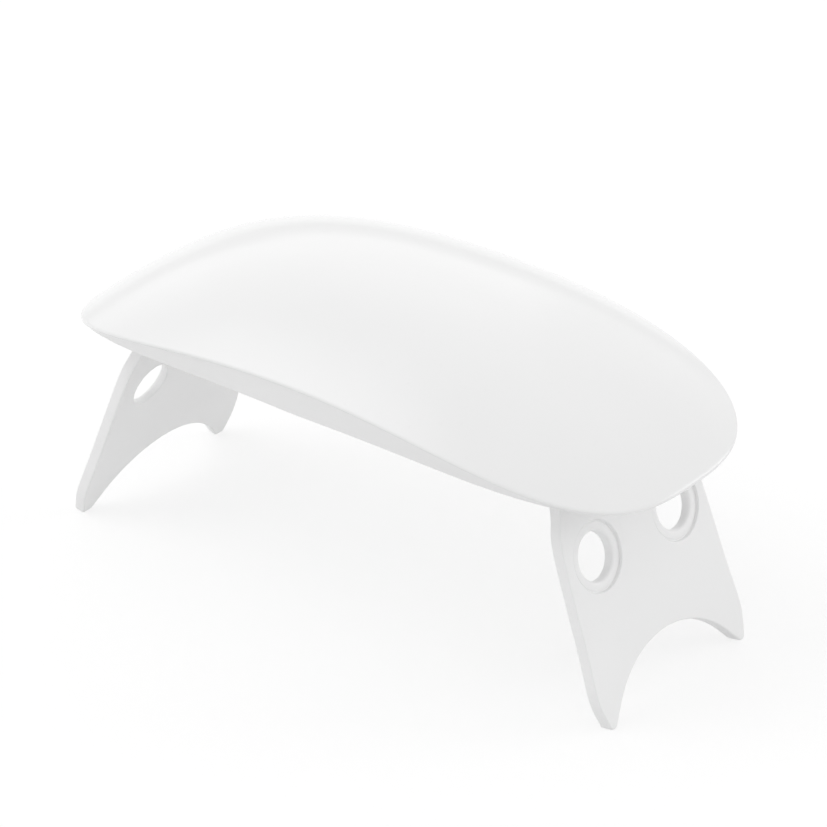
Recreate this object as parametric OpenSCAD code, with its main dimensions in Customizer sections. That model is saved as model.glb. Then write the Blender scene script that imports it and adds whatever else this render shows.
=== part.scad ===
// Mini nail lamp: a bridge on two folding legs, with six lamps under it.
// X runs along the body, Y to the rear, Z up. The origin is on the table,
// midway between the four toes.

/* [Body] */
// Length of the crown
body_l = 136; // [132:1:142]
// Width of the crown
body_w = 67.6; // [66:0.2:70]
// Height of the crown's edge above the table, at mid length
crease_mid_z = 55.4; // [55.2:0.1:56]
// How much lower the crown's edge lies at the two ends
arch_drop = 11.8; // [11.2:0.1:12]
// How far the crown bulges above its edge, at mid length
crown_rise = 10.4; // [10.2:0.1:13]
// Fullness of the crown's cross-section
crown_fullness = 2.25; // [2:0.05:3]
// Height of the crown's own turned-down edge
skirt_h = 0.7; // [0.6:0.1:1]
// Height of the flank below the skirt, at mid length
flank_h = 6.2; // [5.9:0.1:6.4]
// Wall thickness of the crown
shell_wall = 2; // [1.6:0.1:2]

/* [Legs] */
// Outward lean of the open legs, in degrees
splay = 20.2; // [18:0.1:20.5]
// Thickness of a leg's plate
leg_t = 2.5; // [2.2:0.1:2.6]
// Distance of each hinge from the middle of the body
hinge_x = 50; // [49.9:0.1:50.3]
// Height of the hinges above the table
hinge_z = 46.6; // [46.5:0.1:46.7]
// Diameter of the round holes in the legs
leg_hole_d = 9.5; // [9:0.1:10]
// Diameter of the sunk ring around each of those holes
leg_ring_d = 13.9; // [12:0.1:14.4]
// Depth of the sunk ring
leg_ring_depth = 0.5; // [0.3:0.1:0.8]
// Rise of the arch between the toes
leg_arch_h = 11.4; // [9:0.1:12]

/* [Button] */
// Width of the push button
button_w = 7.6; // [6:0.1:8]
// Height of the push button
button_h = 2.8; // [2.4:0.1:3]
// Travel of the push button
button_travel = 0.5; // [0.3:0.05:0.5]

/* [Hidden] */
$fn = 48;

// The crown's plan is a rounded lens: these are its two exponents
plan_p = 4.1;
plan_q = 2.9;
// Exponents of the long curves: crease, crown height and flank height
arch_p = 2.05;
rise_p = 3.6;
flank_p = 1.55;
flank_x = 62;
// The housing: its flank's reach along X, and its insets from the crown's outline at top and bottom
flank_reach = 60;
flank_inset_top = 0.35;
flank_inset_low = 1.4;
// Its lip, which sits inside the crown, and the cavity within
lip_reach = 65.2;
lip_inset = shell_wall + 0.2;
cavity_reach = 63.4;
cavity_inset = shell_wall + 1.4;
// Gap of the seam between crown and housing
seam_gap = 0.05;
half_l = body_l / 2;
half_w = body_w / 2;

// Leg plate, in its own plane: u across, v down from the hinge
leg_offset = 1.75;
toe_trim = 0.6;
leg_reach = (hinge_z - leg_offset * sin(splay)) / cos(splay) + toe_trim;
leg_hole_v = 18.2;
leg_hole_u = 12.2;
leg_arch_r = 22;
leg_arch_slope = 50;
toe_r = 1.2;
leg_top_v = -0.6;
leg_neck = 18.2;
leg_side = [[leg_neck, 3], [19.2, 7.5], [21, 12.5], [21.7, 22], [22.2, 34],
    [22.8, 43], [21.6, leg_reach - toe_r]];
fold_tilt = 2;

// Gap between a folded leg and the walls of its recess
recess_gap = 0.6;

// Hinge
pin_r = 1;
pin_clear = 0.05;
barrel_r = 2.3;
barrel_half = 18.1;
washer_t = 0.4;
ear_inner = leg_neck + recess_gap;
ear_outer = 22.8;
ear_r = 2.6;

// Leg recess under the body
recess_h = 3.6;
recess_roof = 1.4;
recess_end = 53.7;
recess_wall = 1.3;
plate_t = 1.8;
rib_low_z = 45;

// Lamps: three pairs, the outer ones at the holes of the folded legs
lamp_y = leg_hole_u;
lamp_x = hinge_x - leg_hole_v * cos(fold_tilt) + leg_offset * sin(fold_tilt);
lens_r = 4.1;
lens_flange_r = 5;
lens_flange_t = 0.8;
lens_drop = 1.9;
lens_dome_r = 5.4;
lens_fit = 0.1;
emitter_a = 3.5;
emitter_t = 0.9;
board_t = 1.2;
board_l = 11;
board_w = 36;
board_screw_y = 3.6;
board_screw_r = 0.7;
standoff_r = 1.6;

// Rear flank: the inlet and the button sit side by side in front of the control board
control_y = 26.3;
control_t = 1;
control_w = 36;
control_z0 = 50.6;
control_z1 = 56.2;
guide_w = 2.4;
guide_h = 5;
guide_foot = 1.6;
guide_fit = 0.05;
fitted_y = control_y + control_t;
usb_x = -9;
usb_z = 52.1;
usb_w = 7.5;
usb_h = 2.6;
usb_mouth_w = 6.9;
usb_mouth_h = 1.85;
usb_depth = 5.3;
button_x = 9;
button_z = 52.2;
button_gap = 0.3;
switch_a = 4.4;
switch_h = 2.8;
switch_t = 1.4;
plunger_r = 0.85;
plunger_y = fitted_y + 0.3 + button_travel;
button_face_y = 33.6;
button_back_y = fitted_y + switch_t + 0.2 + button_travel;
button_tab = 0.9;
button_tab_t = 0.65;

// Screws
screw_x = 41;
screw_y = 26.3;
screw_head_r = 1.9;
screw_r = 0.95;
screw_head_t = 1;
screw_seat = 1.4;
screw_l = 3.6;
boss_r = 2.3;
boss_base = 2.7;
column_r = 3;

// Shape of the body

function share(x) = min(abs(x) / half_l, 1);
function half_width(x) = half_w * pow(max(1 - pow(share(x), plan_p), 0), 1 / plan_q);
function crease_z(x) = crease_mid_z - arch_drop * pow(share(x), arch_p);
function flank_part(x) = max(1 - pow(abs(x) / flank_x, flank_p), 0);
function rim_z(x) = crease_z(x) - skirt_h - flank_h * flank_part(x);
function roof_z(x) = rim_z(x) + recess_h;
function rise(x) = crown_rise * (1 - pow(share(x), rise_p));
function across(x, y) = half_width(x) < 0.01 ? 1 : min(abs(y) / half_width(x), 1);
function crown_z(x, y) = crease_z(x) + rise(x) * (1 - pow(across(x, y), crown_fullness));

// Height of the inner face of the crown, whose bulge is the outer one's, shrunk
function inner_z(x, y) =
    let (sx = half_l / (half_l - shell_wall), sy = half_w / (half_w - shell_wall))
    crease_z(x) + max(rise(x * sx) - shell_wall, 0) * (1 - pow(across(x * sx, y * sy), crown_fullness));

// Slope of the recess roof at a lamp, in degrees
function roof_slope(x) = atan((roof_z(x - 0.5) - roof_z(x + 0.5)));

// A smooth curve through a few points
function blend(a, b, c, d, t) =
    0.5 * (2 * b + (c - a) * t + (2 * a - 5 * b + 4 * c - d) * t * t + (3 * b - a - 3 * c + d) * t * t * t);
function smooth(pts, steps) =
    let (n = len(pts))
    concat([for (i = [0:n - 2], k = [0:steps - 1])
        blend(pts[max(i - 1, 0)], pts[i], pts[i + 1], pts[min(i + 2, n - 1)], k / steps)], [pts[n - 1]]);

// Crown

crown_turns = 96;
crown_rings = 12;

function outline(k, inset) =
    let (a = 360 * k / crown_turns, x = half_l * cos(a), y = half_width(x) * sign(sin(a)))
    [x * (half_l - inset) / half_l, y * (half_w - inset) / half_w];

function ring(inset, s, top) =
    [for (k = [0:crown_turns - 1])
        let (p = outline(k, inset) * s)
        [p.x, p.y, top == "outer" ? crown_z(p.x, p.y) : inner_z(p.x, p.y)]];

function skirt_ring(inset, lean) =
    [for (k = [0:crown_turns - 1])
        let (p = outline(k, inset + lean))
        [p.x, p.y, crease_z(p.x) - skirt_h]];

function ring_s(j) = sin(90 * j / crown_rings);

function ring_faces(first) =
    [for (k = [0:crown_turns - 1])
        let (m = (k + 1) % crown_turns, a = first + k, b = first + m)
        each [[a, b, a + crown_turns], [b, b + crown_turns, a + crown_turns]]];

// Outer face from the middle to the edge, round the skirt, and back inside
module crown_skin() {
    outer = [for (j = [1:crown_rings]) each ring(0, ring_s(j), "outer")];
    inner = [for (j = [crown_rings:-1:1]) each ring(shell_wall, ring_s(j), "inner")];
    points = concat([[0, 0, crown_z(0, 0)]], outer, skirt_ring(0, 0.25), skirt_ring(shell_wall, 0),
        inner, [[0, 0, inner_z(0, 0)]]);
    rows = 2 * crown_rings + 2;
    last = len(points) - 1;
    caps = [for (k = [0:crown_turns - 1])
        let (m = (k + 1) % crown_turns)
        each [[0, 1 + m, 1 + k], [last, last - crown_turns + k, last - crown_turns + m]]];
    walls = [for (r = [0:rows - 2]) each ring_faces(1 + r * crown_turns)];
    polyhedron(points, concat(caps, walls), convexity = 4);
}

// The same crown without its hollow, used to trim what is inside it
module crown_solid(shrink) {
    outer = [for (j = [1:crown_rings])
        each [for (p = ring(shrink, ring_s(j), "outer")) [p.x, p.y, p.z - shrink]]];
    foot = [for (k = [0:crown_turns - 1])
        let (p = outline(k, shrink))
        [p.x, p.y, crease_mid_z - arch_drop - 4]];
    points = concat([[0, 0, crown_z(0, 0) - shrink]], outer, foot);
    last = len(points) - crown_turns;
    caps = [for (k = [0:crown_turns - 1])
        let (m = (k + 1) % crown_turns)
        [0, 1 + m, 1 + k]];
    walls = [for (r = [0:crown_rings - 1]) each ring_faces(1 + r * crown_turns)];
    polyhedron(points, concat(caps, walls, [[for (k = [0:crown_turns - 1]) last + k]]), convexity = 4);
}

module at_screws() {
    for (sx = [-1, 1], sy = [-1, 1])
        translate([sx * screw_x, sy * screw_y, 0])
            children();
}

module top_shell() {
    color("white")
    difference() {
        union() {
            crown_skin();
            intersection() {
                at_screws()
                    translate([0, 0, rim_z(screw_x) + boss_base])
                        cylinder(r = boss_r, h = 14);
                crown_solid(shell_wall / 2);
            }
        }
        at_screws()
            translate([0, 0, rim_z(screw_x) + screw_seat])
                cylinder(r = screw_r + pin_clear, h = screw_l + 0.4);
    }
}

// Housing

housing_steps = 40;

// A slice of the body between two surfaces, given as lifts above the rim or the crease.
// The ends of its outline are drawn in by inset_x, and its sides by the other two insets.
module body_slice(reach, inset_x, inset_top, inset_low, top_lift, low_lift) {
    xs = [for (i = [0:housing_steps]) reach * sin(90 * (2 * i / housing_steps - 1))];
    points = [for (x = xs)
        let (w = half_width(x * half_l / (half_l - inset_x)),
            yt = w * (half_w - inset_top) / half_w,
            yl = w * (half_w - inset_low) / half_w,
            zt = crease_z(x) + top_lift,
            zl = rim_z(x) + low_lift)
        each [[x, -yt, zt], [x, yt, zt], [x, yl, zl], [x, -yl, zl]]];
    n = len(xs) - 1;
    sides = [for (i = [0:n - 1], k = [0:3])
        let (a = 4 * i + k, b = 4 * i + (k + 1) % 4, c = a + 4, d = b + 4)
        each k % 2 == 0 ? [[a, b, d, c]] : [[a, b, c], [b, d, c]]];
    ends = [[3, 2, 1, 0], [for (k = [0:3]) 4 * n + k]];
    polyhedron(points, concat(sides, ends), convexity = 4);
}

// Side view of the recess for the folded legs, grown by g
function recess_profile(g) =
    let (xs = [for (i = [-6:6]) hinge_x * i / 6],
        end = [[recess_end - 0.8 + g / 2, hinge_z + 2.8 + g], [recess_end + g, hinge_z + 1 + g],
            [recess_end + g, 30]])
    concat([for (i = [2:-1:0]) [-end[i].x, end[i].y]], [for (x = xs) [x, roof_z(x) + g]], end);

// Plan of the recess: the outline of the two folded legs, with a gap all round, grown by g
module recess_plan(g) {
    quarter = concat([[70, leg_neck + recess_gap + g]],
        [for (p = leg_side) if (p.y < 44) [hinge_x - p.y, p.x + recess_gap + g]]);
    n = len(quarter) - 1;
    rear = concat(quarter, [for (i = [n:-1:0]) [-quarter[i].x, quarter[i].y]]);
    polygon(concat(rear, [for (i = [2 * n + 1:-1:0]) [rear[i].x, -rear[i].y]]));
}

module recess(g, roof) {
    intersection() {
        rotate([90, 0, 0])
            translate([0, 0, -40])
                linear_extrude(80)
                    polygon(recess_profile(roof));
        linear_extrude(80)
            recess_plan(g);
    }
}

module at_hinges() {
    for (s = [-1, 1])
        translate([s * hinge_x, 0, hinge_z])
            children();
}

// Round bar across the body, from y0 to y1 on both sides of the middle
module cross_bars(r, y0, y1) {
    for (s = [-1, 1])
        translate([0, s > 0 ? y0 : -y1, 0])
            rotate([-90, 0, 0])
                cylinder(r = r, h = y1 - y0);
}

module at_lamps() {
    for (i = [1:6])
        at_lamp(i)
            children();
}

// Lamps 1 to 3 are in front, 4 to 6 behind, each row from left to right
module at_lamp(i) {
    col = (i - 1) % 3 - 1;
    translate([col * lamp_x, i <= 3 ? -lamp_y : lamp_y, roof_z(col * lamp_x) + recess_roof])
        rotate([0, col * roof_slope(lamp_x), 0])
            children();
}

// Bar along Y with rounded long edges, or with half-round sides where r is half its height
module rounded_bar(w, h, r, t) {
    rotate([-90, 0, 0])
        linear_extrude(t)
            union() {
                square([w - 2 * r, h], center = true);
                for (sx = [-1, 1], sy = h > 2 * r ? [-1, 1] : [0])
                    translate([sx * (w / 2 - r), sy * (h / 2 - r)])
                        circle(r = r);
                if (h > 2 * r)
                    square([w, h - 2 * r], center = true);
            }
}

module at_boards() {
    for (col = [-1, 0, 1])
        at_board(col)
            children();
}

// Middle of the pair of lamps in one column, on top of the recess roof
module at_board(col) {
    translate([col * lamp_x, 0, roof_z(col * lamp_x) + recess_roof])
        rotate([0, col * roof_slope(lamp_x), 0])
            children();
}

module at_board_screws() {
    for (s = [-1, 1])
        translate([0, s * board_screw_y, 0])
            children();
}

// Two grooved guides that hold the ends of the control board
module board_guides() {
    for (s = [-1, 1])
        difference() {
            translate([(s * control_w - guide_w) / 2, control_y - 1, control_z0 - guide_foot])
                cube([guide_w, control_t + 2, guide_h]);
            translate([-control_w / 2 - guide_fit, control_y - guide_fit, control_z0])
                cube([control_w + 2 * guide_fit, control_t + 2 * guide_fit, guide_h]);
        }
}

module housing_shell() {
    difference() {
        union() {
            body_slice(flank_reach, 0, flank_inset_top, flank_inset_low, -skirt_h - seam_gap, 0);
            body_slice(lip_reach, lip_inset, lip_inset, lip_inset, -0.1, 0);
        }
        body_slice(cavity_reach, cavity_inset, cavity_inset, cavity_inset, 3, plate_t);
    }
}

// Walls and roof of the recess, and the screw columns, trimmed to the inside of the crown
module housing_ribs() {
    intersection() {
        union() {
            difference() {
                recess(recess_wall, recess_roof);
                translate([-100, -100, -1])
                    cube([200, 200, rib_low_z + 1]);
            }
            at_screws()
                translate([0, 0, rim_z(screw_x)])
                    cylinder(r = column_r, h = boss_base);
        }
        body_slice(lip_reach, lip_inset, lip_inset, lip_inset, 20, 0);
        crown_solid(shell_wall + 0.3);
    }
}

module lower_housing() {
    color("white")
    difference() {
        union() {
            housing_shell();
            housing_ribs();
            board_guides();
            at_hinges()
                cross_bars(ear_r, ear_inner, ear_outer);
            at_boards()
                at_board_screws()
                    translate([0, 0, -recess_roof / 2])
                        cylinder(r = standoff_r, h = recess_roof / 2 + emitter_t);
        }
        recess(0, 0);
        at_hinges()
            cross_bars(pin_r + pin_clear, 0, ear_outer - 0.8);
        at_boards()
            at_board_screws()
                translate([0, 0, -0.8])
                    cylinder(r = board_screw_r + pin_clear, h = 4);
        at_lamps() {
            translate([0, 0, -lens_flange_t])
                cylinder(r = lens_flange_r + lens_fit, h = 6);
            translate([0, 0, -6])
                cylinder(r = lens_r + lens_fit, h = 8);
        }
        at_screws()
            translate([0, 0, rim_z(screw_x)]) {
                cylinder(r = 1.2, h = 8);
                translate([0, 0, -4])
                    cylinder(r = screw_head_r + 0.2, h = 4 + screw_seat);
            }
        translate([usb_x, fitted_y, usb_z])
            rounded_bar(usb_w + 0.5, usb_h + 0.5, 0.6, 10);
        translate([button_x, fitted_y, button_z])
            rounded_bar(button_w + 2 * button_gap, button_h + 2 * button_gap, button_h / 2 + button_gap, 10);
    }
}

// Legs

module leg_outline() {
    line_t = leg_arch_slope;
    apex = leg_reach - leg_arch_h;
    toe = [leg_side[len(leg_side) - 1].x - toe_r, leg_reach - toe_r];
    side = smooth(leg_side, 6);
    tip = [for (a = [0:15:90 + line_t]) toe + toe_r * [cos(a), sin(a)]];
    arch = [for (a = [line_t:-5:0]) [leg_arch_r * sin(a), apex + leg_arch_r * (1 - cos(a))]];
    half = concat([[leg_neck, leg_top_v]], side, tip, arch);
    n = len(half);
    polygon(concat(half, [for (i = [n - 2:-1:0]) [-half[i].x, half[i].y]]));
}

// Frame of a leg: u across, v down the leg, w towards the middle of the body
module leg_frame() {
    translate([hinge_x, 0, hinge_z])
        rotate([0, -splay, 0])
            rotate([-90, 0, 90])
                children();
}

module leg(side) {
    color("white")
    rotate([0, 0, side < 0 ? 180 : 0])
    intersection() {
        leg_frame()
            difference() {
                union() {
                    translate([0, 0, leg_offset - leg_t / 2])
                        linear_extrude(leg_t)
                            leg_outline();
                    translate([-barrel_half, 0, 0])
                        rotate([0, 90, 0])
                            cylinder(r = barrel_r, h = 2 * barrel_half);
                }
                translate([-barrel_half - 1, 0, 0])
                    rotate([0, 90, 0])
                        cylinder(r = pin_r + pin_clear, h = 2 * barrel_half + 2);
                for (s = [-1, 1])
                    translate([s * leg_hole_u, leg_hole_v, 0]) {
                        translate([0, 0, leg_offset - leg_t])
                            cylinder(d = leg_hole_d, h = 2 * leg_t);
                        translate([0, 0, leg_offset - leg_t / 2 - 1])
                            cylinder(d = leg_ring_d, h = 1 + leg_ring_depth);
                    }
            }
        translate([0, -50, 0])
            cube([100, 100, 60]);
    }
}

module hinge_pin(side) {
    color("lightsteelblue")
    translate([side * hinge_x, -ear_outer + 0.9, hinge_z])
        rotate([-90, 0, 0])
            cylinder(r = pin_r, h = 2 * ear_outer - 1.8);
}

module hinge_washers(side) {
    color("ivory")
    translate([side * hinge_x, 0, hinge_z])
        difference() {
            cross_bars(barrel_r - 0.2, ear_inner - washer_t, ear_inner);
            cross_bars(pin_r + pin_clear, 0, 30);
        }
}

// Lamps and boards

module lens(i) {
    color([0.9, 0.95, 1, 0.5])
    at_lamp(i) {
        translate([0, 0, -lens_flange_t])
            cylinder(r = lens_flange_r, h = lens_flange_t);
        intersection() {
            translate([0, 0, -recess_roof - lens_drop])
                cylinder(r = lens_r, h = recess_roof + lens_drop - lens_flange_t);
            translate([0, 0, -recess_roof - lens_drop + lens_dome_r])
                sphere(r = lens_dome_r);
        }
    }
}

module emitter(i) {
    color("khaki")
    at_lamp(i) {
        translate([-emitter_a / 2, -emitter_a / 2, 0.4])
            cube([emitter_a, emitter_a, emitter_t - 0.4]);
        translate([0, 0, 0.05])
            cylinder(r = 1.3, h = 0.35);
    }
}

// Board over one pair of lamps, held by two screws on standoffs
module lamp_board(col) {
    color("honeydew")
    at_board(col)
        translate([0, 0, emitter_t])
            difference() {
                translate([-board_l / 2, -board_w / 2, 0])
                    cube([board_l, board_w, board_t]);
                at_board_screws()
                    translate([0, 0, -1])
                        cylinder(r = board_screw_r + 0.2, h = board_t + 2);
            }
}

module control_board() {
    color("honeydew")
    translate([-control_w / 2, control_y, control_z0])
        cube([control_w, control_t, control_z1 - control_z0]);
}

module controller_chip() {
    color("dimgray")
    translate([0, 0, roof_z(0) + recess_roof + emitter_t + board_t]) {
        translate([-1.9, -11.4, 0.15])
            cube([3.8, 4.9, 1.4]);
        for (s = [-1, 1], k = [0:3])
            translate([s * 2.2 - 0.3, -10.9 + k * 1.2, 0])
                cube([0.6, 0.45, 0.5]);
    }
}

module power_choke() {
    color("gray")
    translate([0, 9, roof_z(0) + recess_roof + emitter_t + board_t]) {
        cylinder(r = 2.9, h = 0.7);
        cylinder(r = 1.9, h = 3);
        translate([0, 0, 2.3])
            cylinder(r = 2.9, h = 0.7);
    }
}

module smoothing_capacitor() {
    color("silver")
    translate([0, 15.2, roof_z(0) + recess_roof + emitter_t + board_t]) {
        translate([-2.2, -2.2, 0])
            cube([4.4, 4.4, 0.6]);
        cylinder(r = 2, h = 4.2);
    }
}

module usb_socket_shell() {
    color("silver")
    translate([usb_x, fitted_y, usb_z])
        difference() {
            translate([-usb_w / 2, 0, -usb_h / 2])
                cube([usb_w, usb_depth, usb_h]);
            translate([-usb_mouth_w / 2, 0.5, -usb_mouth_h / 2])
                cube([usb_mouth_w, usb_depth, usb_mouth_h]);
        }
}

module usb_socket_tongue() {
    color("dimgray")
    translate([usb_x, fitted_y + 0.5, usb_z]) {
        translate([-usb_mouth_w / 2, 0, -usb_mouth_h / 2])
            cube([usb_mouth_w, 1, usb_mouth_h]);
        translate([-2, 1, -0.3])
            cube([4, 3.2, 0.6]);
    }
}

module tact_switch() {
    color("dimgray")
    translate([button_x, fitted_y, button_z])
        difference() {
            translate([-switch_a / 2, 0, -switch_h / 2])
                cube([switch_a, switch_t, switch_h]);
            translate([0, -1, 0])
                rotate([-90, 0, 0])
                    cylinder(r = plunger_r + 0.1, h = 4);
        }
}

module switch_plunger() {
    color("dimgray")
    translate([button_x, plunger_y, button_z])
        rotate([-90, 0, 0])
            cylinder(r = plunger_r, h = button_back_y - plunger_y);
}

// The cap's two side tabs keep it behind the wall
module button_cap() {
    color("white")
    translate([button_x, button_back_y, button_z]) {
        rounded_bar(button_w, button_h, button_h / 2, button_face_y - button_back_y);
        translate([-button_w / 2 - button_tab, 0, -1])
            cube([button_w + 2 * button_tab, button_tab_t, 2]);
    }
}

// Two thin wires that lie side by side between x0 and x1, over the recess roof
module wire_pair(x0, x1, y) {
    h = recess_roof + emitter_t + board_t + 0.45;
    run = x1 - x0;
    drop = roof_z(x1) - roof_z(x0);
    for (k = [0, 1])
        translate([x0, y + 1.1 * k, roof_z(x0) + h])
            rotate([0, 90 - atan(drop / run), 0])
                cylinder(r = 0.35, h = sqrt(run * run + drop * drop), $fn = 24);
}

module link_wires(side) {
    color("firebrick")
    mirror([side < 0 ? 1 : 0, 0, 0])
        wire_pair(2.6, lamp_x - 2, -0.5);
}

module link_wires_centre() {
    color("firebrick")
    for (k = [0, 1])
        translate([2.6 + 1.1 * k, 16.2, roof_z(0) + recess_roof + emitter_t + board_t + 0.45])
            rotate([-90, 0, 0])
                cylinder(r = 0.35, h = control_y - 16.2, $fn = 24);
}

module pan_screw(r, h, head_r, head_t) {
    cylinder(r = r, h = h);
    translate([0, 0, -head_t])
        difference() {
            cylinder(r = head_r, h = head_t);
            for (a = [0, 90])
                rotate([0, 0, a])
                    translate([-head_r * 0.6, -0.2, -0.1])
                        cube([head_r * 1.2, 0.4, head_t * 0.6]);
        }
}

module case_screws() {
    color("silver")
    at_screws()
        translate([0, 0, rim_z(screw_x) + screw_seat])
            pan_screw(screw_r, screw_l, screw_head_r, screw_head_t);
}

module board_screws() {
    color("silver")
    at_boards()
        at_board_screws()
            translate([0, 0, emitter_t + board_t])
                mirror([0, 0, 1])
                    pan_screw(board_screw_r, emitter_t + board_t + 0.6, 1.4, 0.7);
}

top_shell();
lower_housing();
leg(-1);  // leg_left
leg(1);  // leg_right
hinge_pin(-1);  // hinge_pin_left
hinge_pin(1);  // hinge_pin_right
hinge_washers(-1);  // hinge_washers_left
hinge_washers(1);  // hinge_washers_right
lamp_board(-1);  // lamp_board_left
lamp_board(0);  // lamp_board_centre
lamp_board(1);  // lamp_board_right
for (i = [1:6]) {
    emitter(i);
    lens(i);
}
control_board();
controller_chip();
power_choke();
smoothing_capacitor();
usb_socket_shell();
usb_socket_tongue();
tact_switch();
switch_plunger();
button_cap();
link_wires(-1);  // link_wires_left
link_wires(1);  // link_wires_right
link_wires_centre();
case_screws();
board_screws();
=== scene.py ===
import math

import bmesh
import bpy
import numpy as np
from mathutils import Matrix, Quaternion, Vector
from mathutils.geometry import delaunay_2d_cdt


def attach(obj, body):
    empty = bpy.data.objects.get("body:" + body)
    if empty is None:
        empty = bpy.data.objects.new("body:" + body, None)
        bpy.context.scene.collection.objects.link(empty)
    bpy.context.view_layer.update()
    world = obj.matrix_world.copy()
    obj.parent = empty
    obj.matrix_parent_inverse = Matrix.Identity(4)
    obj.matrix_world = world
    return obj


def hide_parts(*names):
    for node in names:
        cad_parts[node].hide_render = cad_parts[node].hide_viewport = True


# The looks of the mini nail lamp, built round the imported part. X runs along the body, Y to
# the rear and Z up from the table. Lengths are millimetres while a piece is being shaped,
# and finish_piece() brings it to metres. Floor, lights and camera are placed in metres.

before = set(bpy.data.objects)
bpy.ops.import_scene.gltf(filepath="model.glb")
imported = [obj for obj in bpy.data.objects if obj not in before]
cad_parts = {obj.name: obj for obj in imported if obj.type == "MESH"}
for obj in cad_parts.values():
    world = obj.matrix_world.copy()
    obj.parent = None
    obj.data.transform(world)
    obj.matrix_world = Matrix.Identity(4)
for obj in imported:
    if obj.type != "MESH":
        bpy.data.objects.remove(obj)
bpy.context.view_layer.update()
MM = 0.001

# Curves of the body, the same as the solids have
HALF_L, HALF_W = 68.0, 33.8
PLAN_P, PLAN_Q = 4.1, 2.9
CREASE_MID, ARCH_DROP, ARCH_P = 55.4, 11.8, 2.05
CROWN_RISE, RISE_P, FULLNESS = 10.4, 3.6, 2.25
SKIRT_H, FLANK_H, FLANK_X, FLANK_P = 0.7, 6.2, 62.0, 1.55
SHELL_WALL, PLATE_T = 2.0, 1.8

# Recess for the folded legs: depth, roof thickness, ends, half width at the hinge and amid
RECESS_H, RECESS_ROOF, RECESS_END = 3.6, 1.4, 53.7
RECESS_HINGE_W, RECESS_MID_W, RECESS_CORNER_R = 18.8, 24.05, 0.8
RECESS_KNEE_X, RECESS_KNEE_H, RECESS_END_H = 52.9, 2.8, 1

# Legs: faces outward and inward of the hinge line, hole centres across and down
HINGE_X, HINGE_Z, PIN_BORE = 50.0, 46.6, 1.05
SPLAY, FOLDED_TILT = math.radians(20.2), math.radians(2)
LEG_OUT, LEG_IN = 0.5, 3.0
LEG_MID = (LEG_OUT + LEG_IN) / 2
LEG_HOLE = (12.2, 18.2)
HOLE_R, RING_R = 5.0, 7.12
NECK_V, NECK_R = -0.6, 0.7
TOE_U, TOE_R, PAST_TABLE = 21.6, 1.2, 0.6
ARCH_R, ARCH_SLOPE, LEG_ARCH_H = 22.0, 50.0, 11.4
# Half width of the leg at distances down from the hinge, and its play in the recess
LEG_SIDE = [(18.2, 3), (19.2, 7.5), (21, 12.5), (21.7, 22), (22.2, 34), (22.8, 43)]
LEG_PLAY = 0.6

# Places of the screws, and of the inlet and button as X and Z in the rear flank
SCREW_X, SCREW_Y = 41.0, 26.3
SCREWS = [(sx * SCREW_X, sy * SCREW_Y) for sx in (-1, 1) for sy in (-1, 1)]
USB, USB_BACK_Y = (-9.0, 52.1), 27.3
BUTTON = (9.0, 52.2)

# The lamps lie over the holes of the folded legs: column and Y of each
LAMP_X = HINGE_X - LEG_HOLE[1] * math.cos(FOLDED_TILT) + LEG_MID * math.sin(FOLDED_TILT)
LAMPS = [((i % 3) - 1, -LEG_HOLE[0] if i < 3 else LEG_HOLE[0]) for i in range(6)]


def share(x):
    return np.minimum(np.abs(x) / HALF_L, 1)


def half_width(x):
    return HALF_W * np.maximum(1 - share(x) ** PLAN_P, 0) ** (1 / PLAN_Q)


def crease_z(x):
    """Height of the crown's long edge."""
    return CREASE_MID - ARCH_DROP * share(x) ** ARCH_P


def flank_height(x):
    return FLANK_H * np.maximum(1 - (np.abs(x) / FLANK_X) ** FLANK_P, 0)


def rim_z(x):
    """Height of the flank's lower edge."""
    return crease_z(x) - SKIRT_H - flank_height(x)


def roof_z(x):
    return rim_z(x) + RECESS_H


def rise(x):
    return CROWN_RISE * (1 - share(x) ** RISE_P)


def across(x, y):
    """How far out a place lies, from 0 on the middle line to 1 on the plan's edge."""
    return np.minimum(np.abs(y) / np.maximum(half_width(x), 0.01), 1)


def crown_z(x, y):
    return crease_z(x) + rise(x) * (1 - across(x, y) ** FULLNESS)


def inner_z(x, y):
    """Height of the crown's inner face."""
    sx, sy = HALF_L / (HALF_L - SHELL_WALL), HALF_W / (HALF_W - SHELL_WALL)
    bulge = np.maximum(rise(x * sx) - SHELL_WALL, 0)
    return crease_z(x) + bulge * (1 - across(x * sx, y * sy) ** FULLNESS)


def smoothstep(a, b, x):
    t = np.clip((x - a) / (b - a), 0, 1)
    return t * t * (3 - 2 * t)


# Curves in a plane


def resample(points, n):
    """n points at even steps along a closed line."""
    loop = np.vstack([points, points[:1]])
    length = np.concatenate([[0], np.cumsum(np.linalg.norm(np.diff(loop, axis=0), axis=1))])
    at = np.linspace(0, length[-1], n, endpoint=False)
    return np.column_stack([np.interp(at, length, loop[:, 0]), np.interp(at, length, loop[:, 1])])


def outward(points):
    """Unit normals of a closed line that runs anticlockwise."""
    t = np.roll(points, -1, 0) - np.roll(points, 1, 0)
    t /= np.maximum(np.linalg.norm(t, axis=1, keepdims=True), 1e-9)
    return np.column_stack([t[:, 1], -t[:, 0]])


def grown(points, distance):
    return points + outward(points) * distance


def bend(a, b, c, t):
    """The place at share t of a curve from a to c that leaves and arrives along b."""
    return (1 - t) ** 2 * a + 2 * t * (1 - t) * b + t * t * c


def rounded_corner(a, b, c, radius, steps=6):
    """A rounding at corner b of the line a-b-c."""
    a, b, c = (np.array(p, float) for p in (a, b, c))
    u, v = (a - b) / np.linalg.norm(a - b), (c - b) / np.linalg.norm(c - b)
    half = math.acos(float(np.clip(u @ v, -1, 1))) / 2
    reach = radius / math.tan(half)
    return [bend(b + u * reach, b, b + v * reach, t) for t in np.linspace(0, 1, steps)]


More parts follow.
